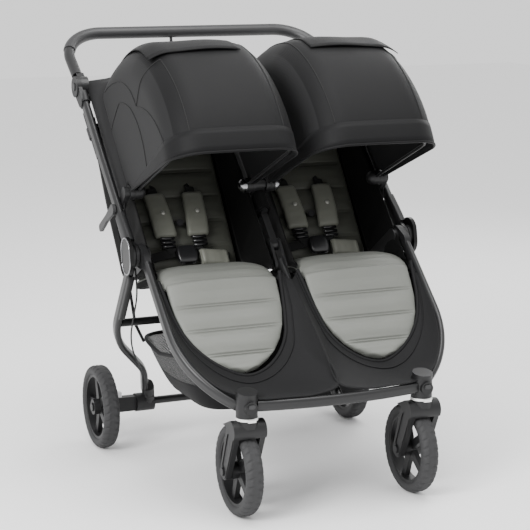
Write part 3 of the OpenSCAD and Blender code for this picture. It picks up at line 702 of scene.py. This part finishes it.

# Canopy seams: topstitched lines in black thread where the cheeks' panels meet and where the top
# joins them.
thread_black = Paint("seam", (0.002, 0.002, 0.002), 0.8)
proud = 0.0006
for s, word in ((-1, "left"), (1, "right")):
    for number, path in enumerate((
            [(156, 0.302), (140, 0.282), (125, 0.255), (107, 0.22)],
            [(107, 0.22), (109, 0.29), (110, 0.34), (110, 0.37)],
            [(107, 0.22), (95, 0.245), (80, 0.27), (66, 0.285), (50, 0.30)],
            [(150, 0.146), (138, 0.156), (110, 0.185), (88, 0.208), (73, 0.22)],
            [(73, 0.22), (68, 0.212), (60, 0.20), (47, 0.185)],
            [(150, 0.375), (136, 0.374), (122, 0.372), (110, 0.37)],
            [(150, 0.625), (124, 0.628), (100, 0.626), (75, 0.622), (60, 0.615)])):
        line = curve([(a, b, 0) for a, b in path], 10)
        spots = [hood_point(s, q.x, q.y) + proud * (Vector((s, 0, 0)) if q.y < 0.3 else Vector(
            (0, math.cos(math.radians(q.x)), math.sin(math.radians(q.x))))) for q in line]
        bead = tube(f"canopy_seam_{word}_{number}", spots, 0.0011, thread_black, 6)
        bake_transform(bead)

# Hub caps: domed moulded caps pressed over the canopy pivots, bright-plated on the inner side
# of each seat and black on the outer side.
chrome = Paint("chrome", (0.32, 0.32, 0.33), 0.25, 1.0)
cap_radius = 0.0178
for s, word in ((-1, "left"), (1, "right")):
    for x, turn in ((0.0385, 1), (0.3175, -1)):
        def cap_point(u, v, s=s, x=x, turn=turn):
            r = cap_radius * math.sin(math.pi / 2 * min(v * 1.25, 1)) if v < 0.8 else cap_radius
            out = 0.017 * math.cos(math.pi / 2 * min(v * 1.25, 1)) if v < 0.8 else -0.002 * (v - 0.8) / 0.2
            a = 2 * math.pi * u
            return s * (x + turn * (out + 0.001)), r * math.sin(a), canopy_pivot_z + r * math.cos(a)
        cap = grid(f"canopy_cap_{word}_{turn}", cap_point, 32, 14, chrome if x < 0.1 else moulded, True)
        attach(cap, f"canopy_{word}")

# Clip: a small T-shaped moulding that hangs under the handlebar on a short stem and holds
# the frame when it is folded.
for number, (path, r) in enumerate(([((-0.0505, 0.5005, 1.043), (-0.0505, 0.4985, 1.026)), 0.0042],
                                    [((-0.070, 0.4985, 1.0252), (-0.032, 0.4985, 1.0252)), 0.0046])):
    clip = tube(f"clip_{number}", [Vector(p) for p in path], r, moulded, 10)
    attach(clip, "handlebar")

# Hinge sleeves: tapering nylon mouldings that grip the upper tubes where they enter the
# hinges, pushed on and riveted through.
hinge_y, hinge_z = -0.092, 0.561
for s, word in ((-1, "left"), (1, "right")):
    ring = []
    for i in range(13):
        t = 0.034 + 0.090 * i / 12
        swell = 1 - 0.22 * (i / 12) ** 2
        y, z = hinge_y + t * 0.743145, hinge_z + t * 0.669131
        turns = [2 * math.pi * k / 32 for k in range(32)]
        rise = [0.0215 * swell * math.copysign(abs(math.sin(a)) ** 0.7, math.sin(a)) for a in turns]
        ring.append([Vector((s * (0.364 + 0.0112 * math.copysign(abs(math.cos(a)) ** 0.5, math.cos(a))),
                             y - 0.669131 * h, z + 0.743145 * h)) for a, h in zip(turns, rise)])
    sleeve = grid(f"hinge_sleeve_{word}", lambda u, v, ring=ring: ring[round(v * 12)][round(u * 32) % 32],
                  32, 12, moulded, True)
    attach(sleeve, "upper_frame")

# Trim rings: bright plated wire loops pressed into the face of each oval hinge cover, just
# inside its rim.
def trim_point(k, s):
    a = 2 * math.pi * k / 64
    y, z = 0.0315 * math.cos(a), 0.0315 * math.sin(a) + math.copysign(0.012, math.sin(a))
    tilt = math.radians(-10)
    return (s * 0.3822, hinge_y + y * math.cos(tilt) - z * math.sin(tilt),
            hinge_z + y * math.sin(tilt) + z * math.cos(tilt))


for s, word in ((-1, "left"), (1, "right")):
    trim = tube(f"hinge_trim_{word}", [trim_point(k + 0.5, s) for k in range(64)], 0.0016, chrome, 8, True)
    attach(trim, "rear_frame")

# Leg channels: moulded nylon covers snapped along the front of the straight part of each rear
# leg, over the run of the brake cable.
for s in (-1, 1):
    def channel_point(u, v, s=s):
        t = 0.052 + 0.150 * u
        a = 2 * math.pi * v
        x = 0.364 + 0.0075 * math.copysign(abs(math.cos(a)) ** 0.4, math.cos(a))
        close = min(1, 14 * min(u, 1 - u) + 0.05)
        n = 0.0195 + 0.0065 * math.copysign(abs(math.sin(a)) ** 0.4, math.sin(a)) * close
        return s * x, hinge_y + t * 0.5678 - n * 0.8231, hinge_z - t * 0.8231 - n * 0.5678
    channel = grid(f"leg_channel_{s}", channel_point, 24, 24, moulded, False, True)
    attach(channel, "rear_frame")

# Fold stays: thin black rods that run from each hinge down past the basket to the rear of the
# frame, where the lower brake cables go.
for s, word in ((-1, "left"), (1, "right")):
    stay_line = [(s * 0.350, -0.066, 0.525), (s * 0.345, -0.060, 0.46), (s * 0.345, -0.034, 0.40),
                 (s * 0.338, 0.010, 0.345), (s * 0.318, 0.058, 0.290), (s * 0.278, 0.116, 0.222),
                 (s * 0.248, 0.160, 0.165), (s * 0.240, 0.190, 0.140)]
    stay = tube(f"stay_{word}", curve(stay_line, 8), 0.0022, moulded, 8)
    if word == "left":
        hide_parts("brake_cable_lower")
    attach(stay, "rear_frame")
